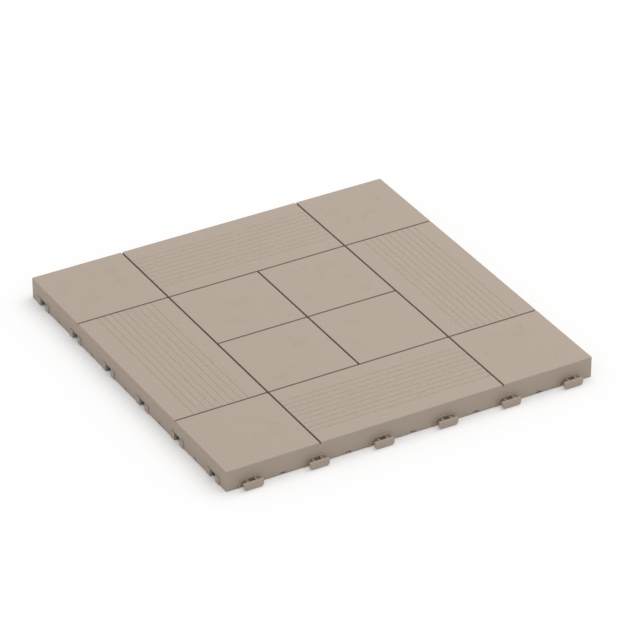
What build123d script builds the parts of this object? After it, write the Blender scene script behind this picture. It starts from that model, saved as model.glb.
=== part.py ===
"""Deck tile: a square floor tile that clicks to its neighbours, moulded in one piece.

The tile lies on the floor at z = 0 with its walking face up, and its centre is over the origin. Hooks
stand out of the front (-Y) and right (+X) walls. The left and back walls have the pockets that take the
hooks of the next tile.
"""
import os
from math import floor

from build123d import *

# Outline
tile_side = 400.0
tile_height = 22.0
corner_radius = 1.0
top_edge_radius = 0.5
top_skin = 3.0
skirt_wall = 2.4
skirt_lift = 0.6

# Joint grooves that mark out the squares and panels of the walking face
border_width = 100.0
joint_width = 2.0
joint_base_width = 1.6
joint_depth = 2.0

# Fine grooves along the four side panels
groove_pitch = 7.3
groove_margin = 20.0
groove_width = 0.8
groove_depth = 0.4

# Ribs underneath
rib_thickness = 1.5
rib_setback = 1.0
moulding_draft = 0.5

# Hooks: a plate on two webs, with a raised lip round them on the wall
hook_pitch = 70.0
hook_end_margin = 5.0
plate_width = 20.5
plate_thickness = 3.0
plate_top = 7.5
plate_corner = 3.5
plate_edge_chamfer = 0.5
web_outer_width = 9.6
web_thickness = 1.2
lip_depth = 1.0
lip_thickness = 1.5
lip_side_gap = 0.85
lip_top_gap = 0.2
lip_corner = 7.0

# Pockets: a notch in the wall between two raised blocks
notch_side_play = 0.4
notch_top_play = 0.5
block_width = 6.9
block_depth = 1.1
block_top = 8.4
wall_play = 0.7

# Drain channels across the underside
drain_width = 5.4
drain_height = 1.8

# How far a cutting shape reaches past the surface that it cuts
overcut = 1.0

# Sizes that follow from the ones above
half_side = tile_side / 2
joint_offset = half_side - border_width
panel_centre = half_side - border_width / 2
groove_count = floor((border_width - 2 * groove_margin) / groove_pitch) + 1
lip_inner_width = plate_width + 2 * lip_side_gap
lip_outer_width = lip_inner_width + 2 * lip_thickness
lip_inner_top = plate_top + lip_top_gap
lip_top = lip_inner_top + lip_thickness
lip_inner_corner = lip_corner - lip_thickness
plate_standoff = lip_depth + block_depth + skirt_wall + wall_play
notch_width = web_outer_width + 2 * notch_side_play
notch_top = plate_top + notch_top_play
block_pitch = notch_width + block_width
hook_row_length = tile_side - 2 * (corner_radius + hook_end_margin) - lip_outer_width
hook_count = floor(hook_row_length / hook_pitch) + 1
drain_count = hook_count - 1
rib_pitch = hook_pitch / 2
rib_count = 2 * drain_count
cell_count = rib_count - 1
cell_side = rib_pitch - rib_thickness
last_rib_face = ((rib_count - 1) * rib_pitch + rib_thickness) / 2
edge_cell_side = half_side - skirt_wall - last_rib_face
edge_cell_centre = last_rib_face + edge_cell_side / 2
foot_side = tile_side - 2 * (skirt_wall + rib_setback)

# The four walls, each with x along the wall, y up and z pointing out of the tile
front_wall = Plane(origin=(0, -half_side, 0), x_dir=(1, 0, 0), z_dir=(0, -1, 0))
right_wall = Plane(origin=(half_side, 0, 0), x_dir=(0, 1, 0), z_dir=(1, 0, 0))
back_wall = Plane(origin=(0, half_side, 0), x_dir=(-1, 0, 0), z_dir=(0, 1, 0))
left_wall = Plane(origin=(-half_side, 0, 0), x_dir=(0, -1, 0), z_dir=(-1, 0, 0))
hook_walls = (front_wall, right_wall)
pocket_walls = (left_wall, back_wall)

from_base = (Align.CENTER, Align.MIN)


def joint_section():
    """Corners of a joint groove's section: a flat base and sides that open upwards past the surface."""
    half_base = joint_base_width / 2
    slope = (joint_width - joint_base_width) / 2 / joint_depth
    half_top = joint_width / 2 + slope * overcut
    return [(half_base, -joint_depth), (half_top, overcut), (-half_top, overcut), (-half_base, -joint_depth)]


def groove_section():
    """Corners of a fine groove's section: a V that carries on above the surface."""
    half = groove_width / 2 * (1 + overcut / groove_depth)
    return [(0, -groove_depth), (half, overcut), (-half, overcut)]


with BuildPart() as deck_tile:
    # Outer block with rounded corners and a softened rim
    with BuildSketch():
        RectangleRounded(tile_side, tile_side, corner_radius)
    extrude(amount=tile_height)
    fillet(deck_tile.faces().sort_by(Axis.Z)[-1].edges(), top_edge_radius)

    # The skirt ends clear of the floor, and the ribs' feet stand on it, set back from the skirt
    with BuildSketch():
        Rectangle(tile_side + overcut, tile_side + overcut)
        Rectangle(foot_side, foot_side, mode=Mode.SUBTRACT)
    extrude(amount=skirt_lift, mode=Mode.SUBTRACT)

    # Raised lips arch over the hooks
    with BuildSketch(*hook_walls) as lips:
        with Locations((0, skirt_lift)):
            with GridLocations(hook_pitch, 0, hook_count, 1):
                Rectangle(lip_outer_width, lip_top - skirt_lift, align=from_base)
        fillet(lips.vertices().group_by(Axis.Y)[-1], lip_corner)
    extrude(amount=lip_depth)
    with BuildSketch(*hook_walls) as lip_openings:
        with GridLocations(hook_pitch, 0, hook_count, 1):
            Rectangle(lip_inner_width, lip_inner_top, align=from_base)
        fillet(lip_openings.vertices().group_by(Axis.Y)[-1], lip_inner_corner)
    extrude(amount=lip_depth + overcut, mode=Mode.SUBTRACT)

    # Webs carry each hook plate
    with BuildSketch(*hook_walls):
        with Locations((0, skirt_lift)):
            with GridLocations(hook_pitch, 0, hook_count, 1):
                with GridLocations(web_outer_width - web_thickness, 0, 2, 1):
                    Rectangle(web_thickness, plate_top - skirt_lift, align=from_base)
    extrude(amount=plate_standoff)

    # Hook plates, with softened edges towards the next tile
    with BuildSketch(*[wall.offset(plate_standoff) for wall in hook_walls]) as plates:
        with GridLocations(hook_pitch, 0, hook_count, 1):
            Rectangle(plate_width, plate_top, align=from_base)
        fillet(plates.vertices().group_by(Axis.Y)[0], plate_corner)
    extrude(amount=plate_thickness)
    front_plates = deck_tile.faces().sort_by(Axis.Y)[:hook_count]
    right_plates = deck_tile.faces().sort_by(Axis.X)[-hook_count:]
    chamfer((front_plates + right_plates).edges(), plate_edge_chamfer)

    # Raised blocks on both sides of each pocket
    with BuildSketch(*pocket_walls):
        with Locations((0, skirt_lift)):
            with GridLocations(hook_pitch, 0, hook_count, 1):
                with GridLocations(block_pitch, 0, 2, 1):
                    Rectangle(block_width, block_top - skirt_lift, align=from_base)
    extrude(amount=block_depth)

    # Pocket notches between them, through the skirt
    with BuildSketch(*[wall.offset(overcut) for wall in pocket_walls]):
        with GridLocations(hook_pitch, 0, hook_count, 1):
            Rectangle(notch_width, notch_top, align=from_base)
    extrude(amount=-(skirt_wall + 2 * overcut), mode=Mode.SUBTRACT)

    # Hollow cells leave the skirt, the ribs and the top skin
    with BuildSketch():
        with GridLocations(rib_pitch, rib_pitch, cell_count, cell_count):
            Rectangle(cell_side, cell_side)
        with GridLocations(2 * edge_cell_centre, rib_pitch, 2, cell_count):
            Rectangle(edge_cell_side, cell_side)
        with GridLocations(rib_pitch, 2 * edge_cell_centre, cell_count, 2):
            Rectangle(cell_side, edge_cell_side)
        with GridLocations(2 * edge_cell_centre, 2 * edge_cell_centre, 2, 2):
            Rectangle(edge_cell_side, edge_cell_side)
    extrude(amount=tile_height - top_skin, taper=moulding_draft, mode=Mode.SUBTRACT)

    # Drain channels run through every rib and out under the skirt
    with BuildSketch():
        with GridLocations(hook_pitch, 0, drain_count, 1):
            Rectangle(drain_width, tile_side + overcut)
        with GridLocations(0, hook_pitch, 1, drain_count):
            Rectangle(tile_side + overcut, drain_width)
    extrude(amount=skirt_lift + drain_height, mode=Mode.SUBTRACT)

    # Joint grooves from edge to edge, two each way
    with BuildSketch(Plane.XZ, Plane.YZ):
        with Locations((-joint_offset, tile_height), (joint_offset, tile_height)):
            Polygon(*joint_section(), align=None)
    extrude(amount=half_side + overcut, both=True, mode=Mode.SUBTRACT)

    # Between them, a cross of joint grooves in the middle and fine grooves along each side panel
    with BuildSketch(Plane.XZ, Plane.YZ):
        with Locations((0, tile_height)):
            Polygon(*joint_section(), align=None)
        with Locations((-panel_centre, tile_height), (panel_centre, tile_height)):
            with GridLocations(groove_pitch, 0, groove_count, 1):
                Polygon(*groove_section(), align=None)
    extrude(amount=joint_offset, both=True, mode=Mode.SUBTRACT)

deck_tile.part.label = "deck_tile"

os.makedirs("parts", exist_ok=True)
export_step(deck_tile.part, "parts/deck_tile.step")
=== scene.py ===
"""Looks of the deck tile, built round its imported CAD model.

Geometry Nodes build the moulding by its own rules: a block with a ribbed underside, joints and fine
grooves in the walking face, click hooks on two walls and pockets on the other two. Its edges are then
rounded as a mould leaves them, and the piece takes the place of the CAD node.
"""
from math import pi, radians, sin, tan

import bmesh
import bpy
from bpy.props import FloatProperty, FloatVectorProperty, IntProperty, PointerProperty
from mathutils import Euler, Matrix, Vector


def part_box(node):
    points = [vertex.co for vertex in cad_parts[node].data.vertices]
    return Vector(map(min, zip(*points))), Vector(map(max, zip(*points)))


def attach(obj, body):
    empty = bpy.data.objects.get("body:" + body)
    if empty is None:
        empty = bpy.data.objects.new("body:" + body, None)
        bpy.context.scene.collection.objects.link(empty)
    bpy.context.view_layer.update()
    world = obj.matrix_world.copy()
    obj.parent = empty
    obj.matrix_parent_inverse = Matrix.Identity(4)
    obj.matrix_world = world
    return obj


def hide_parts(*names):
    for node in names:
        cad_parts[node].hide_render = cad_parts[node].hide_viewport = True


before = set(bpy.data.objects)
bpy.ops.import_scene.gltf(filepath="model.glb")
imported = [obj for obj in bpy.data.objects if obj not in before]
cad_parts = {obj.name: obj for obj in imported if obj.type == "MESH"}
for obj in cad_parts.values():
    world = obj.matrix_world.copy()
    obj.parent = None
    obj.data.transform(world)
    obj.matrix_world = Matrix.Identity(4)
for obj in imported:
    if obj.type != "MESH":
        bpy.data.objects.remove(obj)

bl_info = {
    "name": "Deck tile",
    "version": (1, 0, 0),
    "blender": (4, 5, 0),
    "location": "View3D > Sidebar > Deck tile",
    "description": "Builds a click-together deck tile, its moulded plastic and a white studio",
    "category": "Object",
}

MM = 0.001
TILE_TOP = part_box("deck_tile")[1].z

# How far a cutting shape reaches past what it cuts, and a joined one into what it joins
OVERCUT = 1 * MM
ROOT = 1 * MM

# Straight steps in a rounded corner
BLOCK_CORNER_STEPS = 8
OUTLINE_CORNER_STEPS = 6

# Points nearer than this are one, in a drawn prism and after a join
PRISM_GAP = 0.001 * MM
JOIN_GAP = 0.02 * MM

# Edges up to this far over the lower rim are its own, and those that bend by less than this are flat
RIM_BAND = 0.05 * MM
FLAT_ANGLE = radians(0.2)

# An edge that bends by more than the first is sharp, and by more than the second is square
SHARP_ANGLE = radians(30)
SQUARE_ANGLE = radians(60)

# How far under the walking face its own edges and the fine grooves' edges lie, in grooves' depths
FACE_EDGE_BAND = 0.2
GROOVE_EDGE_BAND = 1.2

# Edges with less than this share of the widest rounding stay as they are
LEAST_ROUNDING = 0.01

# Blotches in a metre of the plastic's noises
RIPPLE_BLOTCHES = 290
FLECK_BLOTCHES = 400
PATCH_BLOTCHES = 45
CLOUD_BLOTCHES = 14
GRAIN_BLOTCHES = 2600

# Raw noise lies round its middle, and is stretched to reach about -1 and 1
NOISE_MIDDLE = 0.5
NOISE_STRETCH = 4

# Noise value from which a patch of flecks is at its full strength
PATCH_FULL = 0.64

# Share by which the darkest and the lightest tone differ from the plain colour
TONE_RANGE = 0.25

# How far the roughness drifts over the tile
ROUGHNESS_DRIFT = 0.05

# The relief is on what faces up within this depth of the walking face
FACE_BAND = 0.5 * MM
FACING_UP = 0.5

# How far under a joint's base its painted shade may still reach
JOINT_MARGIN = 0.1 * MM

# Brightness of the bare floor to the camera, and how far it reaches from the tile's middle, in metres
FLOOR_WHITE = 1.005
FLOOR_REACH = 8

WHITE = (1, 1, 1, 1)
FULL_STRENGTH = 1.0


def length(label, text, millimetres):
    """A length that a user would change, with its default in millimetres."""
    return FloatProperty(name=label, description=text, default=millimetres * MM, min=0, unit="LENGTH",
                         precision=5)


def number(label, text, value, least=1):
    """A whole number that a user would change."""
    return IntProperty(name=label, description=text, default=value, min=least)


def angle(label, text, degrees):
    """An angle that a user would change, with its default in degrees."""
    return FloatProperty(name=label, description=text, default=radians(degrees), subtype="ANGLE")


def share(label, text, value):
    """A number from 0 to 1 that a user would change."""
    return FloatProperty(name=label, description=text, default=value, min=0, max=1, subtype="FACTOR")


def strength(label, text, value):
    """A number from 0 up that a user would change."""
    return FloatProperty(name=label, description=text, default=value, min=0)


def colour(label, text, value):
    """A colour that a user would change."""
    return FloatVectorProperty(name=label, description=text, default=value, min=0, max=1, size=3,
                               subtype="COLOR")


class TileSizes(bpy.types.PropertyGroup):
    """Sizes of the block, its walking face and its ribs."""

    side: length("Side", "Side of the square tile, without hooks and blocks", 400)
    height: length("Height", "From the floor to the walking face", TILE_TOP / MM)
    corner_radius: length("Corner radius", "Radius of the four upright corners", 1)
    top_skin: length("Top skin", "Thickness of the plastic under the walking face", 3)
    skirt_wall: length("Skirt wall", "Thickness of the outer walls", 2.4)
    skirt_lift: length("Skirt lift", "Gap between the outer walls and the floor", 0.6)
    border_width: length("Border width", "From the edge to the joint round the middle", 100)
    joint_width: length("Joint width", "Width of the joints between the panels, at the top", 2)
    joint_base: length("Joint base", "Width of the joints at their base", 1.6)
    joint_depth: length("Joint depth", "Depth of the joints between the panels", 2)
    groove_pitch: length("Groove pitch", "Spacing of the fine grooves", 7.3)
    groove_depth: length("Groove depth", "Depth of a fine groove, and half its width", 0.4)
    groove_count: number("Grooves", "Fine grooves in each side panel", 9)
    rib_thickness: length("Rib thickness", "Thickness of a rib at the floor", 1.5)
    rib_setback: length("Rib setback", "From the outer wall to the ribs' feet", 1)
    rib_count: number("Ribs", "Ribs each way", 10, least=2)
    draft: angle("Draft", "Taper of the cells", 0.5)
    drain_width: length("Drain width", "Width of the channels across the ribs", 5.4)
    drain_height: length("Drain height", "Height of the channels above the outer walls' lower edge", 1.8)


class HookSizes(bpy.types.PropertyGroup):
    """Sizes of the click hooks on the front and right walls."""

    pitch: length("Pitch", "Spacing of the hooks and of the pockets", 70)
    count: number("Hooks", "Hooks or pockets on each wall", 6)
    plate_width: length("Plate width", "Width of a hook's plate", 20.5)
    plate_thickness: length("Plate thickness", "Thickness of a hook's plate", 3)
    plate_top: length("Plate top", "Top of the plate above the floor", 7.5)
    plate_corner: length("Plate corner", "Radius of the plate's lower corners", 3.5)
    standoff: length("Stand-off", "From the wall to the back of the plate", 5.2)
    web_span: length("Web span", "Over the outsides of a hook's two webs", 9.6)
    web_thickness: length("Web thickness", "Thickness of a web", 1.2)
    lip_depth: length("Lip depth", "How far the lip round a hook stands out", 1)
    lip_width: length("Lip width", "Width of the opening inside the lip", 22.2)
    lip_height: length("Lip height", "Top of the opening inside the lip", 7.7)
    lip_thickness: length("Lip thickness", "Thickness of the lip round a hook", 1.5)
    lip_corner: length("Lip corner", "Radius of the lip's upper corners", 7)


class PocketSizes(bpy.types.PropertyGroup):
    """Sizes of the pockets in the left and back walls."""

    notch_width: length("Notch width", "Width of the notch for a hook's webs", 10.4)
    notch_top: length("Notch top", "Top of the notch above the floor", 8)
    block_width: length("Block width", "Width of the raised block on each side of a notch", 6.9)
    block_depth: length("Block depth", "How far the blocks stand out", 1.1)
    block_top: length("Block top", "Top of the blocks above the floor", 8.4)


class EdgeSizes(bpy.types.PropertyGroup):
    """Rounding of the moulding's edges."""

    rim: length("Rim", "Rounding round the walking face, the widest of all", 0.5)
    lip: length("Panel lip", "Rounding along the joints", 0.12)
    groove: length("Groove lip", "Rounding along the fine grooves", 0.1)
    plain: length("Other edges", "Rounding of the other outer edges", 0.18)
    root: length("Inner corners", "Rounding in the corners of cells and joints", 0.3)


class PlasticLook(bpy.types.PropertyGroup):
    """Colour and surface of the plastic, and the painted shade in its joints."""

    base: colour("Base", "Colour of the plastic", (0.46, 0.376, 0.306))
    roughness: share("Roughness", "Roughness of the plastic", 0.58)
    gloss: share("Gloss", "Strength of the plastic's reflection", 0.35)
    cloud_tone: share("Cloud tone", "How far the tone drifts over the tile", 0.025)
    relief_tone: share("Relief tone", "How much darker the relief's hollows are", 0.08)
    relief_depth: length("Relief depth", "Depth of the stone relief and the ripple", 0.2)
    fleck_strength: strength("Flecks", "Strength of the squares' flecks against the ripple", 1.8)
    grain_depth: length("Grain depth", "Depth of the fine mould grain", 0.02)
    # Painted shade: a dark colour is mixed in towards the joints' base as a stand-in for the shade of
    # deeper joints, and it fades near their open ends, where light comes in
    joint_base: colour("Joint base", "Colour of the joints at their base", (0.03, 0.015, 0.007))
    painted_joint_shade_start: length("Joint shade start", "Depth where the joints start to darken", 1.4)
    painted_joint_shade_end: length("Joint shade end", "Depth where the joints are darkest", 1.7)
    painted_shade_end_fade: length("Joint light end", "How far daylight reaches in at a joint's open end", 2)
    relief_reach: length("Relief reach", "From a panel's middle, where the relief starts to fade", 30)
    relief_end: length("Relief end", "From a panel's middle, where the relief ends", 43)


class StudioSettings(bpy.types.PropertyGroup):
    """Camera, lamp, sky and floor of the studio."""

    camera_place: FloatVectorProperty(name="Camera", description="Where the camera stands",
                                      default=(-1.6950, -2.9821, 2.12295), subtype="TRANSLATION",
                                      unit="LENGTH")
    azimuth: angle("Azimuth", "Which way the camera looks, from +Y towards +X", 29.735)
    tilt: angle("Tilt", "How far the camera looks down", 31.463)
    roll: angle("Roll", "How far the camera is turned about its own line of sight", -0.064)
    lens: FloatProperty(name="Lens", description="Focal length on a 36 mm sensor, in millimetres",
                        default=236.0, unit="CAMERA")
    sky_light: share("Sky light", "Strength of the even light from all round", 0.604)
    key_light: strength("Key light", "Strength of the soft lamp's light at the tile's middle", 1.17)
    key_distance: length("Key distance", "From the tile's middle to the soft lamp", 2900)
    key_azimuth: angle("Key azimuth", "Where the soft lamp stands, from +X towards +Y", 18)
    key_height: angle("Key height", "How high the soft lamp stands", 65)
    key_spread: angle("Key spread", "Width of the soft lamp as the tile sees it", 60)
    floor: share("Floor", "Brightness of the floor's own colour", 0.88)


class Nodes:
    """Fills one node tree."""

    def __init__(self, tree):
        self.tree = tree

    def add(self, kind, *values, **settings):
        """Adds a node, fills its inputs in order, and gives its first output if it has one."""
        node = self.tree.nodes.new(kind)
        for key, value in settings.items():
            setattr(node, key, value)
        sockets = [s for s in node.inputs if s.enabled]
        for socket, value in zip(sockets, values):
            if isinstance(value, (list, tuple)) and isinstance(value[0], bpy.types.NodeSocket):
                for each in value:
                    self.tree.links.new(each, socket)
            elif isinstance(value, bpy.types.NodeSocket):
                self.tree.links.new(value, socket)
            elif value is not None:
                socket.default_value = value
        return node.outputs[0] if node.outputs else None

    def math(self, operation, *values):
        return self.add("ShaderNodeMath", *values, operation=operation)

    def less(self, a, b):
        return self.math("SUBTRACT", a, b)

    def plus(self, a, b):
        return self.math("ADD", a, b)

    def times(self, a, b):
        return self.math("MULTIPLY", a, b)

    def point(self, x=0.0, y=0.0, z=0.0):
        return self.add("ShaderNodeCombineXYZ", x, y, z)

    def parts(self, vector):
        """The X, Y and Z of a vector."""
        return self.add("ShaderNodeSeparateXYZ", vector).node.outputs

    def far_and_near(self, x, y):
        """How far a point is from the tile's two middle lines, the farther one first."""
        x, y = self.math("ABSOLUTE", x), self.math("ABSOLUTE", y)
        return self.math("MAXIMUM", x, y), self.math("MINIMUM", x, y)

    def mixed(self, amount, first, second):
        """A colour between two others."""
        mix = self.add("ShaderNodeMix", amount, data_type="RGBA").node
        colour_inputs, colour_output = mix.inputs[6:8], mix.outputs[2]
        for socket, tint in zip(colour_inputs, (first, second)):
            if isinstance(tint, bpy.types.NodeSocket):
                self.tree.links.new(tint, socket)
            else:
                socket.default_value = (*tint, 1)
        return colour_output

    def either(self, choice, yes, no):
        """yes where the choice is 1, and no where it is 0."""
        return self.plus(self.times(choice, yes), self.times(self.less(1, choice), no))


class Shapes(Nodes):
    """Fills a Geometry Nodes tree that has one mesh as its result."""

    def __init__(self, name, inputs):
        super().__init__(bpy.data.node_groups.new(name, "GeometryNodeTree"))
        for label, kind, value in inputs:
            socket = self.tree.interface.new_socket(label, in_out="INPUT", socket_type=kind)
            if value is not None:
                socket.default_value = value
        self.tree.interface.new_socket("Mesh", in_out="OUTPUT", socket_type="NodeSocketGeometry")
        self.given = self.tree.nodes.new("NodeGroupInput").outputs

    def finished(self, mesh):
        """Makes this mesh the tree's result, and gives the tree."""
        realized = self.add("GeometryNodeRealizeInstances", mesh)
        self.add("NodeGroupOutput", realized)
        return self.tree

    def moved(self, mesh, x=0.0, y=0.0, z=0.0):
        return self.add("GeometryNodeTransform", mesh, self.point(x, y, z))

    def turned(self, mesh, x=0.0, y=0.0, z=0.0):
        return self.add("GeometryNodeTransform", mesh, None, (radians(x), radians(y), radians(z)))

    def joined(self, *meshes):
        return self.add("GeometryNodeJoinGeometry", meshes)

    def box(self, width, depth, low, high):
        """A box centred over the origin, from low to high."""
        height = self.less(high, low)
        cube = self.add("GeometryNodeMeshCube", self.point(width, depth, height))
        return self.moved(cube, z=self.times(self.plus(low, high), 0.5))

    def narrowed(self, mesh, keep, top):
        """Draws the points below this height in towards X = 0, to a share of where they were."""
        place = self.parts(self.add("GeometryNodeInputPosition"))
        below = self.math("LESS_THAN", place[2], top)
        inwards = self.times(self.times(place[0], self.less(keep, 1)), below)
        return self.add("GeometryNodeSetPosition", mesh, None, None, self.point(inwards))

    def row(self, mesh, count, pitch, axis="x"):
        """Copies in a centred row along x or y."""
        start = self.times(self.times(self.less(count, 1), pitch), -0.5)
        first = self.point(**{axis: start})
        step = self.point(**{axis: pitch})
        line = self.add("GeometryNodeMeshLine", count, first, step)
        copies = self.add("GeometryNodeInstanceOnPoints", line, None, mesh)
        return self.add("GeometryNodeRealizeInstances", copies)

    def prism(self, outline, depth):
        """A closed solid: an outline in XY, drawn up along Z."""
        face = self.add("GeometryNodeFillCurve", outline, mode="NGONS")
        drawn = self.add("GeometryNodeExtrudeMesh", face, None, self.point(z=depth), 1.0, False)
        base = self.add("GeometryNodeFlipFaces", face)
        return self.add("GeometryNodeMergeByDistance", self.joined(drawn, base), None, PRISM_GAP)

    def outline(self, width, low, high, radius=0.0, corners=None):
        """A rectangle in XY from low to high in Y, with its upper or lower corners rounded."""
        curve = self.add("GeometryNodeCurvePrimitiveQuadrilateral", width, self.less(high, low))
        middle = self.times(self.plus(low, high), 0.5)
        curve = self.moved(curve, y=middle)
        if corners:
            height = self.parts(self.add("GeometryNodeInputPosition"))[1]
            side = "GREATER_THAN" if corners == "upper" else "LESS_THAN"
            radius = self.times(self.math(side, height, middle), radius)
            curve = self.add("GeometryNodeFilletCurve", curve, OUTLINE_CORNER_STEPS, radius, mode="POLY")
        return curve

    def union(self, *meshes):
        """One solid from several."""
        return self.add("GeometryNodeMeshBoolean", meshes, operation="UNION", solver="MANIFOLD")

    def cut(self, mesh, *cutters):
        """Cuts each of these shapes out of a solid."""
        for cutter in cutters:
            mesh = self.add("GeometryNodeMeshBoolean", mesh, cutter, operation="DIFFERENCE",
                            solver="MANIFOLD")
        return mesh


def inputs_of(*groups):
    """A tree input for every property of these groups, with the same name and default."""
    found = []
    for group in groups:
        for key in group.__annotations__:
            prop = group.bl_rna.properties[key]
            kind = "NodeSocketInt" if prop.type == "INT" else "NodeSocketFloat"
            found.append((prop.name, kind, prop.default))
    return found


def values_of(*groups):
    """What the user has set, by the names of the tree inputs."""
    values = {}
    for group in groups:
        for key in type(group).__annotations__:
            values[group.bl_rna.properties[key].name] = getattr(group, key)
    return values


def run_tree(obj, tree, values):
    """Puts a tree on an object, with its inputs set."""
    modifier = obj.modifiers.new(tree.name, "NODES")
    modifier.node_group = tree
    for item in tree.interface.items_tree:
        if item.in_out == "INPUT" and item.socket_type != "NodeSocketGeometry":
            modifier[item.identifier] = values[item.name]


def new_object(name, data):
    """A new object in the scene, at the origin."""
    obj = bpy.data.objects.new(name, data)
    bpy.context.scene.collection.objects.link(obj)
    return obj


def plain_mesh(obj):
    """Turns the object's modifiers into plain mesh."""
    bpy.context.view_layer.update()
    shown = obj.evaluated_get(bpy.context.evaluated_depsgraph_get())
    mesh = bpy.data.meshes.new_from_object(shown)
    mesh.name = obj.name
    obj.modifiers.clear()
    obj.data = mesh


def clean_joins(mesh, rim_height):
    """Takes out what the joins leave and a rounding would fold.

    Points that lie a hair apart are merged. Edges across the flat lower rim and points part of the way
    along an edge are dissolved.
    """
    bm = bmesh.new()
    bm.from_mesh(mesh)
    bmesh.ops.remove_doubles(bm, verts=bm.verts, dist=JOIN_GAP)
    low = [e for e in bm.edges if all(v.co.z < rim_height + RIM_BAND for v in e.verts)]
    flat = [e for e in low if e.calc_face_angle(pi) < FLAT_ANGLE]
    bmesh.ops.dissolve_edges(bm, edges=flat, use_verts=False)
    bmesh.ops.dissolve_verts(bm, verts=[v for v in bm.verts if len(v.link_edges) == 2])
    bm.to_mesh(mesh)
    bm.free()


def block_tree():
    """The block: outer walls, top skin, ribs, drain channels, joints and fine grooves."""
    n = Shapes("Tile block", inputs_of(TileSizes, HookSizes))
    g = n.given
    height, side = g["Height"], g["Side"]
    square = n.outline(side, n.times(side, -0.5), n.times(side, 0.5))
    square = n.add("GeometryNodeFilletCurve", square, BLOCK_CORNER_STEPS, g["Corner radius"],
                   mode="POLY")
    block = n.moved(n.prism(square, n.less(height, g["Skirt lift"])), z=g["Skirt lift"])
    inner_side = n.less(side, n.times(g["Skirt wall"], 2))
    foot_side = n.less(inner_side, n.times(g["Rib setback"], 2))
    feet = n.box(foot_side, foot_side, 0.0, n.plus(g["Skirt lift"], OVERCUT))

    # Hollow cells leave ribs between them, at half the hooks' pitch
    rib_pitch = n.times(g["Pitch"], 0.5)
    cells = n.less(g["Ribs"], 1)
    cell = n.less(rib_pitch, g["Rib thickness"])
    last_face = n.times(n.plus(n.times(cells, rib_pitch), g["Rib thickness"]), 0.5)
    edge_cell = n.less(n.times(inner_side, 0.5), last_face)
    edge_pitch = n.plus(n.times(last_face, 2), edge_cell)
    ceiling = n.less(height, g["Top skin"])

    def hollow(width, depth):
        """A cell of this size, whose walls draw in towards the ceiling."""
        x, y, z = n.parts(n.add("GeometryNodeInputPosition"))
        inwards = n.times(n.times(z, n.math("TANGENT", g["Draft"])), -1)
        shift = n.point(n.times(n.math("SIGN", x), inwards), n.times(n.math("SIGN", y), inwards))
        shape = n.box(width, depth, -OVERCUT, ceiling)
        return n.add("GeometryNodeSetPosition", shape, None, None, shift)

    middle = n.row(n.row(hollow(cell, cell), cells, rib_pitch), cells, rib_pitch, "y")
    sides = n.row(n.row(hollow(edge_cell, cell), 2, edge_pitch), cells, rib_pitch, "y")
    corners = n.row(n.row(hollow(edge_cell, edge_cell), 2, edge_pitch), 2, edge_pitch, "y")
    hollows = n.joined(middle, sides, n.turned(sides, z=90), corners)

    reach = n.plus(side, 2 * OVERCUT)
    drain = n.box(g["Drain width"], reach, -OVERCUT, n.plus(g["Skirt lift"], g["Drain height"]))
    drains = n.row(drain, n.less(g["Hooks"], 1), g["Pitch"])

    # Joints open upwards, past the walking face
    panel_span = n.less(side, n.times(g["Border width"], 2))
    floor = n.less(height, g["Joint depth"])
    sky = n.plus(height, OVERCUT)
    slope = n.math("DIVIDE", n.less(g["Joint width"], g["Joint base"]), g["Joint depth"])
    opening = n.plus(g["Joint width"], n.times(slope, OVERCUT))
    base_share = n.math("DIVIDE", g["Joint base"], opening)

    def joint(span):
        """A joint of this length, whose sides draw in towards its base."""
        return n.narrowed(n.box(opening, span, floor, sky), base_share, height)

    joints = n.joined(n.row(joint(reach), 2, panel_span), joint(panel_span))

    # A square bar on its edge cuts a groove as deep as half its diagonal
    bar_side = n.times(g["Groove depth"], 2 ** 0.5)
    bar = n.add("GeometryNodeMeshCube", n.point(bar_side, panel_span, bar_side))
    bar = n.moved(n.turned(bar, y=45), z=height)
    grooves = n.row(n.row(bar, g["Grooves"], g["Groove pitch"]), 2, n.less(side, g["Border width"]))

    tile = n.cut(n.union(block, feet), hollows, drains, n.turned(drains, z=90), joints,
                 n.turned(joints, z=90), grooves, n.turned(grooves, z=90))
    return n.finished(tile)


def on_wall(n, mesh, side, *turns):
    """Stands a row that was drawn flat on the front wall, and turns a copy to each wall that has it."""
    front = n.moved(n.turned(mesh, x=90), y=n.times(side, -0.5))
    return n.joined(*[n.turned(front, z=turn) for turn in turns])


def hook_tree():
    """Click hooks for the front and right walls: a plate on two webs, with a lip round them."""
    n = Shapes("Click hooks", inputs_of(TileSizes, HookSizes))
    g = n.given
    lift = g["Skirt lift"]
    lip_outer = n.plus(g["Lip width"], n.times(g["Lip thickness"], 2))
    lip_top = n.plus(g["Lip height"], g["Lip thickness"])
    lip_draw = n.plus(g["Lip depth"], ROOT)
    lip = n.prism(n.outline(lip_outer, lift, lip_top, g["Lip corner"], "upper"), lip_draw)
    inner_corner = n.less(g["Lip corner"], g["Lip thickness"])
    gap = n.prism(n.outline(g["Lip width"], -OVERCUT, g["Lip height"], inner_corner, "upper"),
                  n.plus(lip_draw, 2 * OVERCUT))
    lip = n.cut(n.moved(lip, z=-ROOT), n.moved(gap, z=-ROOT - OVERCUT))
    web = n.prism(n.outline(g["Web thickness"], lift, g["Plate top"]), n.plus(g["Stand-off"], 2 * ROOT))
    webs = n.row(n.moved(web, z=-ROOT), 2, n.less(g["Web span"], g["Web thickness"]))
    plate = n.prism(n.outline(g["Plate width"], 0.0, g["Plate top"], g["Plate corner"], "lower"),
                    g["Plate thickness"])
    plate = n.moved(plate, z=g["Stand-off"])
    hook = n.union(n.union(plate, webs), lip)
    row = n.row(hook, g["Hooks"], g["Pitch"])
    return n.finished(on_wall(n, row, g["Side"], 0, 90))


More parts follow.
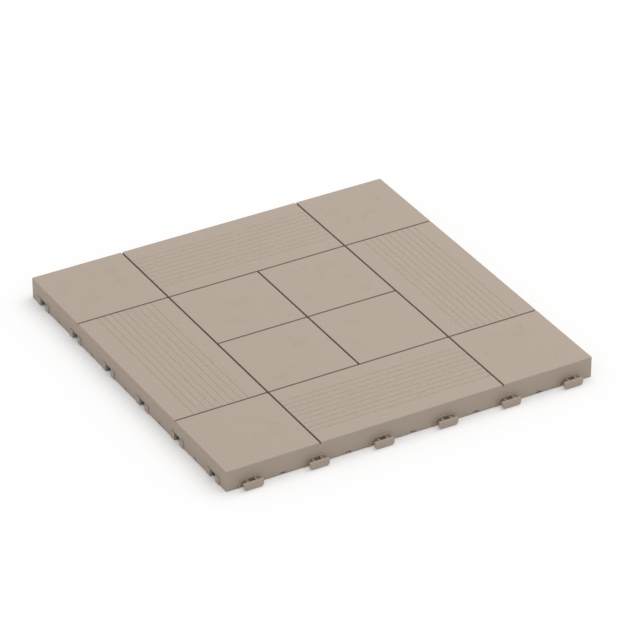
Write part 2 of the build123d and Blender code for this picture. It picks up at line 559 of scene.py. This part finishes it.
def block_row_tree():
    """Raised blocks beside the pockets of the back and left walls."""
    n = Shapes("Pocket blocks", inputs_of(TileSizes, HookSizes, PocketSizes))
    g = n.given
    block = n.prism(n.outline(g["Block width"], g["Skirt lift"], g["Block top"]),
                    n.plus(g["Block depth"], ROOT))
    pair = n.row(n.moved(block, z=-ROOT), 2, n.plus(g["Notch width"], g["Block width"]))
    row = n.row(pair, g["Hooks"], g["Pitch"])
    return n.finished(on_wall(n, row, g["Side"], 180, 270))


def notch_tree():
    """The shapes that cut the notches of the back and left walls."""
    n = Shapes("Pocket notches", inputs_of(TileSizes, HookSizes, PocketSizes))
    g = n.given
    notch = n.prism(n.outline(g["Notch width"], -OVERCUT, g["Notch top"]),
                    n.plus(g["Skirt wall"], 2 * OVERCUT))
    notch = n.moved(notch, z=n.times(n.plus(g["Skirt wall"], OVERCUT), -1))
    row = n.row(notch, g["Hooks"], g["Pitch"])
    return n.finished(on_wall(n, row, g["Side"], 180, 270))


# The objects that become one moulding, by the names of that tree's inputs
MOULDING_PARTS = {
    "Block": "tile_block",
    "Hooks": "click_hooks",
    "Blocks": "pocket_blocks",
    "Notches": "pocket_notches",
}


def moulding_tree():
    """Joins the block, hooks and pocket blocks in one solid, and cuts the notches through them."""
    inputs = [(part, "NodeSocketObject", None) for part in MOULDING_PARTS]
    n = Shapes("One moulding", inputs + [("Plastic", "NodeSocketMaterial", None)])
    block, hooks, blocks, notches = [
        n.add("GeometryNodeObjectInfo", n.given[part]).node.outputs["Geometry"]
        for part in MOULDING_PARTS
    ]
    tile = n.cut(n.union(block, hooks, blocks), notches)
    return n.finished(n.add("GeometryNodeSetMaterial", tile, None, n.given["Plastic"]))


def rounding_tree():
    """Marks every sharp edge with its rounding, as a share of the widest one.

    A sharp edge that gets no rounding is shaded sharp.
    """
    n = Shapes("Edge rounding", [("Mesh", "NodeSocketGeometry", None)] + inputs_of(TileSizes, EdgeSizes))
    g = n.given
    unsigned, signed = n.add("GeometryNodeInputMeshEdgeAngle").node.outputs
    x, y, z = n.parts(n.add("GeometryNodeInputPosition"))
    reach = n.math("MAXIMUM", n.math("ABSOLUTE", x), n.math("ABSOLUTE", y))
    half = n.times(g["Side"], 0.5)
    sharp = n.math("GREATER_THAN", unsigned, SHARP_ANGLE)
    square = n.math("GREATER_THAN", unsigned, SQUARE_ANGLE)
    hollow = n.math("LESS_THAN", signed, 0.0)
    inside = n.math("LESS_THAN", reach, n.less(half, n.times(g["Skirt wall"], 0.5)))
    face_band = n.times(g["Groove depth"], FACE_EDGE_BAND)
    on_top = n.math("GREATER_THAN", z, n.less(g["Height"], face_band))
    groove_band = n.times(g["Groove depth"], GROOVE_EDGE_BAND)
    by_groove = n.math("GREATER_THAN", z, n.less(g["Height"], groove_band))
    at_rim = n.math("GREATER_THAN", reach, n.less(half, g["Corner radius"]))

    face_edge = n.either(at_rim, g["Rim"], g["Panel lip"])
    top_edge = n.either(n.times(on_top, square), face_edge, g["Groove lip"])
    low_edge = n.either(hollow, n.times(inside, g["Inner corners"]), g["Other edges"])
    radius = n.either(by_groove, top_edge, low_edge)
    weight = n.math("DIVIDE", n.times(sharp, radius), g["Rim"])
    marked = n.add("GeometryNodeStoreNamedAttribute", g["Mesh"], None, "bevel_weight_edge", weight,
                   data_type="FLOAT", domain="EDGE")
    unrounded = n.times(sharp, n.math("LESS_THAN", weight, LEAST_ROUNDING))
    return n.finished(n.add("GeometryNodeSetShadeSmooth", marked, unrounded, False, domain="EDGE"))


def plastic_material(look, sizes):
    """Moulded plastic, with a stone relief on the plain squares, a ripple between the grooves and
    painted shade in the joints.
    """
    material = bpy.data.materials.new("moulded_plastic")
    material.use_nodes = True
    n = Nodes(material.node_tree)
    shader = n.tree.nodes["Principled BSDF"].inputs
    place = n.add("ShaderNodeTexCoord").node.outputs["Object"]
    x, y, z = n.parts(place)
    far, near = n.far_and_near(x, y)
    joint = sizes.side / 2 - sizes.border_width
    on_border = n.math("GREATER_THAN", far, joint)
    on_corner = n.math("GREATER_THAN", near, joint)
    grooved = n.less(on_border, on_corner)

    # How far a point is from the middle of its own panel
    middle = joint / 2
    outer = joint + sizes.border_width / 2
    across = n.math("ABSOLUTE", n.less(far, n.either(on_border, outer, middle)))
    along = n.math("ABSOLUTE", n.less(near, n.either(on_corner, outer, middle)))
    off_middle = n.math("MAXIMUM", across, n.times(along, n.less(1, grooved)))
    facing = n.parts(n.add("ShaderNodeNewGeometry").node.outputs["Normal"])[2]
    on_face = n.times(n.math("GREATER_THAN", z, sizes.height - FACE_BAND),
                      n.math("GREATER_THAN", facing, FACING_UP))

    def smooth(value, start, end):
        """0 at the start, 1 at the end, and smooth between."""
        return n.add("ShaderNodeMapRange", value, start, end, 0.0, 1.0, interpolation_type="SMOOTHSTEP")

    def noise(blotches, detail, roughness=0.5):
        """Soft noise, mostly between -1 and 1, with this many blotches in a metre."""
        raw = n.add("ShaderNodeTexNoise", place, blotches, detail, roughness)
        return n.times(n.less(raw, NOISE_MIDDLE), NOISE_STRETCH)

    field = n.times(on_face, smooth(off_middle, look.relief_end, look.relief_reach))
    patches = smooth(noise(PATCH_BLOTCHES, detail=3), 0, PATCH_FULL)
    ripple = n.times(grooved, noise(RIPPLE_BLOTCHES, detail=2))
    strong_patches = n.times(patches, look.fleck_strength)
    flecks = n.times(n.less(1, grooved), n.times(noise(FLECK_BLOTCHES, detail=3), strong_patches))
    relief = n.times(field, n.plus(ripple, flecks))
    grain = noise(GRAIN_BLOTCHES, detail=2, roughness=0.6)
    clouds = noise(CLOUD_BLOTCHES, detail=3)

    # Painted shade: the joints darken towards their base, as a deeper joint would in shade, but not at
    # their open ends, where light comes in
    depth = n.less(sizes.height, z)
    in_joint = n.times(n.math("LESS_THAN", depth, sizes.joint_depth + JOINT_MARGIN),
                       smooth(far, sizes.side / 2, sizes.side / 2 - look.painted_shade_end_fade))
    shade = n.times(in_joint, smooth(depth, look.painted_joint_shade_start, look.painted_joint_shade_end))

    # The plain colour is half-way between the darkest and the lightest tone
    darkest = [c * (1 - TONE_RANGE) for c in look.base]
    lightest = [c * (1 + TONE_RANGE) for c in look.base]
    drift = n.plus(n.times(clouds, look.cloud_tone), n.times(relief, look.relief_tone))
    toned = n.mixed(n.plus(0.5, drift), darkest, lightest)
    # The joints' painted shade is mixed into the plastic's colour
    n.tree.links.new(n.mixed(shade, toned, look.joint_base), shader["Base Color"])
    n.tree.links.new(n.plus(look.roughness, n.times(clouds, ROUGHNESS_DRIFT)), shader["Roughness"])
    shader["Specular IOR Level"].default_value = look.gloss

    coarse = n.add("ShaderNodeBump", FULL_STRENGTH, look.relief_depth)
    n.tree.links.new(relief, coarse.node.inputs["Height"])
    fine = n.add("ShaderNodeBump", FULL_STRENGTH, look.grain_depth)
    n.tree.links.new(grain, fine.node.inputs["Height"])
    n.tree.links.new(coarse, fine.node.inputs["Normal"])
    n.tree.links.new(fine, shader["Normal"])
    return material


def white_to_the_eye(n, plain, seen):
    """Shows one shader to the camera, gloss and glass, and the other to all other light."""
    path = n.add("ShaderNodeLightPath").node.outputs
    eye = n.math("MAXIMUM", path["Is Camera Ray"], path["Is Glossy Ray"])
    eye = n.math("MAXIMUM", eye, path["Is Transmission Ray"])
    return n.add("ShaderNodeMixShader", eye, plain, seen)


def key_turn(studio):
    """How the soft lamp is turned, to face the tile's middle."""
    return Euler((0, radians(90) - studio.key_height, studio.key_azimuth))


def key_place(studio):
    """Where the soft lamp stands."""
    place = Vector((0, 0, studio.key_distance))
    place.rotate(key_turn(studio))
    return place


def floor_material(studio, tile, hooks, pockets):
    """White floor that still holds the tile's shadow.

    It stays dark under the tile, but for the mouths of the pockets.
    """
    material = bpy.data.materials.new("white_floor")
    material.use_nodes = True
    n = Nodes(material.node_tree)
    n.tree.nodes.clear()
    matt = n.add("ShaderNodeBsdfDiffuse", (studio.floor, studio.floor, studio.floor, 1))
    place = n.add("ShaderNodeTexCoord").node.outputs["Object"]
    x, y = n.parts(place)[:2]
    far, near = n.far_and_near(x, y)
    off_pocket = n.less(n.math("FRACT", n.math("DIVIDE", near, hooks.pitch)), 0.5)
    at_mouth = n.math("LESS_THAN", n.math("ABSOLUTE", off_pocket), pockets.notch_width / 2 / hooks.pitch)
    edge = n.less(tile.side / 2, n.times(at_mouth, tile.skirt_wall))
    outside = n.math("GREATER_THAN", far, edge)

    # The lamp's light fades with the square of its distance. The glow adds what is missing to white.
    away = n.add("ShaderNodeVectorMath", place, key_place(studio), operation="DISTANCE")
    fading = n.math("POWER", n.math("DIVIDE", studio.key_distance, away.node.outputs["Value"]), 2.0)
    key_light = n.times(fading, studio.key_light * sin(studio.key_height) / pi)
    lit = n.times(n.plus(studio.sky_light, key_light), studio.floor)
    missing = n.math("MAXIMUM", n.less(FLOOR_WHITE, lit), 0.0)
    glow = n.add("ShaderNodeEmission", WHITE, n.times(outside, missing))
    lifted = n.add("ShaderNodeAddShader", matt, glow)
    n.add("ShaderNodeOutputMaterial", white_to_the_eye(n, matt, lifted))
    return material


def white_world(studio):
    """Even light from all round, white where it is seen."""
    world = bpy.data.worlds.new("white_world")
    world.use_nodes = True
    n = Nodes(world.node_tree)
    n.tree.nodes.clear()
    sky = n.add("ShaderNodeBackground", WHITE, studio.sky_light)
    white = n.add("ShaderNodeBackground", WHITE, FULL_STRENGTH)
    n.add("ShaderNodeOutputWorld", white_to_the_eye(n, sky, white))
    return world


class PieceOperator:
    """What the operators share: the settings, and an object made by a tree."""

    bl_options = {"REGISTER", "UNDO"}

    def values(self, context):
        """The sizes of every shape, by the names of the tree inputs."""
        scene = context.scene
        return values_of(scene.tile_sizes, scene.hook_sizes, scene.pocket_sizes, scene.edge_sizes)

    def made(self, name, tree, values):
        """A new object whose plain mesh is what the tree makes."""
        obj = new_object(name, bpy.data.meshes.new(name))
        run_tree(obj, tree, values)
        plain_mesh(obj)
        return obj


class DECKTILE_OT_block(PieceOperator, bpy.types.Operator):
    """Makes the block with its ribs, joints and fine grooves"""

    bl_idname = "deck_tile.block"
    bl_label = "Tile block"

    def execute(self, context):
        self.made("tile_block", block_tree(), self.values(context))
        return {"FINISHED"}


class DECKTILE_OT_hooks(PieceOperator, bpy.types.Operator):
    """Makes the click hooks of the front and right walls"""

    bl_idname = "deck_tile.hooks"
    bl_label = "Click hooks"

    def execute(self, context):
        self.made("click_hooks", hook_tree(), self.values(context))
        return {"FINISHED"}


class DECKTILE_OT_pockets(PieceOperator, bpy.types.Operator):
    """Makes the blocks and notches of the left and back walls"""

    bl_idname = "deck_tile.pockets"
    bl_label = "Pockets"

    def execute(self, context):
        self.made("pocket_blocks", block_row_tree(), self.values(context))
        self.made("pocket_notches", notch_tree(), self.values(context))
        return {"FINISHED"}


class DECKTILE_OT_moulding(PieceOperator, bpy.types.Operator):
    """Joins block, hooks and pockets in one moulding, rounds its edges and gives it its plastic"""

    bl_idname = "deck_tile.moulding"
    bl_label = "One moulding"

    def execute(self, context):
        scene = context.scene
        parts = {label: bpy.data.objects[name] for label, name in MOULDING_PARTS.items()}
        plastic = plastic_material(scene.plastic_look, scene.tile_sizes)
        tile = self.made("moulded_tile", moulding_tree(), {**parts, "Plastic": plastic})
        for part in parts.values():
            bpy.data.objects.remove(part)
        clean_joins(tile.data, scene.tile_sizes.skirt_lift)
        run_tree(tile, rounding_tree(), self.values(context))
        bevel = tile.modifiers.new("rounded edges", "BEVEL")
        bevel.width = scene.edge_sizes.rim
        bevel.segments = 3
        bevel.limit_method = "WEIGHT"
        bevel.use_clamp_overlap = False
        bevel.harden_normals = True
        tile.data.shade_smooth()
        plain_mesh(tile)
        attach(tile, "root")
        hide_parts("deck_tile")
        return {"FINISHED"}


class DECKTILE_OT_studio(bpy.types.Operator):
    """Sets up the white floor, the light and the camera"""

    bl_idname = "deck_tile.studio"
    bl_label = "White studio"
    bl_options = {"REGISTER", "UNDO"}

    def execute(self, context):
        scene = context.scene
        studio = scene.studio_settings
        mesh = bpy.data.meshes.new("studio_floor")
        bm = bmesh.new()
        bmesh.ops.create_grid(bm, x_segments=1, y_segments=1, size=FLOOR_REACH)
        bm.to_mesh(mesh)
        bm.free()
        white_floor = floor_material(studio, scene.tile_sizes, scene.hook_sizes, scene.pocket_sizes)
        mesh.materials.append(white_floor)
        floor = new_object("studio_floor", mesh)
        scene.world = white_world(studio)

        # This much power lights the tile's middle as a sun lamp of the key light's strength does
        key = new_object("key_light", bpy.data.lights.new("key_light", "AREA"))
        radius = studio.key_distance * tan(studio.key_spread / 2)
        key.data.shape = "DISK"
        key.data.size = 2 * radius
        key.data.energy = studio.key_light * pi * (radius / sin(studio.key_spread / 2)) ** 2
        key.location = key_place(studio)
        key.rotation_euler = key_turn(studio)
        key.visible_camera = False

        camera = new_object("camera", bpy.data.cameras.new("camera"))
        camera.data.lens = studio.lens
        camera.data.sensor_width = 36
        camera.data.clip_end = 100
        camera.location = studio.camera_place
        camera.rotation_euler = (radians(90) - studio.tilt, 0, -studio.azimuth)
        camera.rotation_euler.rotate_axis("Z", studio.roll)
        scene.camera = camera
        scene.view_settings.view_transform = "Standard"
        return {"FINISHED"}


class DECKTILE_PT_panel(bpy.types.Panel):
    """Lists the tile's settings and operators"""

    bl_idname = "DECKTILE_PT_panel"
    bl_label = "Deck tile"
    bl_space_type = "VIEW_3D"
    bl_region_type = "UI"
    bl_category = "Deck tile"

    def draw(self, context):
        for name, operators in LAYOUT.items():
            group = getattr(context.scene, name)
            box = self.layout.box()
            for key in type(group).__annotations__:
                box.prop(group, key)
            for operator in operators:
                box.operator(operator.bl_idname)


# The panel's boxes: settings, and the operators that use them
LAYOUT = {
    "tile_sizes": (DECKTILE_OT_block,),
    "hook_sizes": (DECKTILE_OT_hooks,),
    "pocket_sizes": (DECKTILE_OT_pockets,),
    "edge_sizes": (),
    "plastic_look": (DECKTILE_OT_moulding,),
    "studio_settings": (DECKTILE_OT_studio,),
}
GROUPS = {
    "tile_sizes": TileSizes,
    "hook_sizes": HookSizes,
    "pocket_sizes": PocketSizes,
    "edge_sizes": EdgeSizes,
    "plastic_look": PlasticLook,
    "studio_settings": StudioSettings,
}
OPERATORS = (
    DECKTILE_OT_block,
    DECKTILE_OT_hooks,
    DECKTILE_OT_pockets,
    DECKTILE_OT_moulding,
    DECKTILE_OT_studio,
)


def register():
    """Tells Blender of the settings, the operators and the panel."""
    for group in GROUPS.values():
        bpy.utils.register_class(group)
    for name, group in GROUPS.items():
        setattr(bpy.types.Scene, name, PointerProperty(type=group))
    for cls in (*OPERATORS, DECKTILE_PT_panel):
        bpy.utils.register_class(cls)


def unregister():
    """Takes them out again."""
    for cls in (DECKTILE_PT_panel, *OPERATORS):
        bpy.utils.unregister_class(cls)
    for name, group in GROUPS.items():
        delattr(bpy.types.Scene, name)
        bpy.utils.unregister_class(group)


def main():
    """Makes the tile and its studio."""
    register()
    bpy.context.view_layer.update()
    bpy.ops.deck_tile.block()
    bpy.ops.deck_tile.hooks()
    bpy.ops.deck_tile.pockets()
    bpy.ops.deck_tile.moulding()
    bpy.ops.deck_tile.studio()
    bpy.context.view_layer.update()


if __name__ == "__main__":
    main()
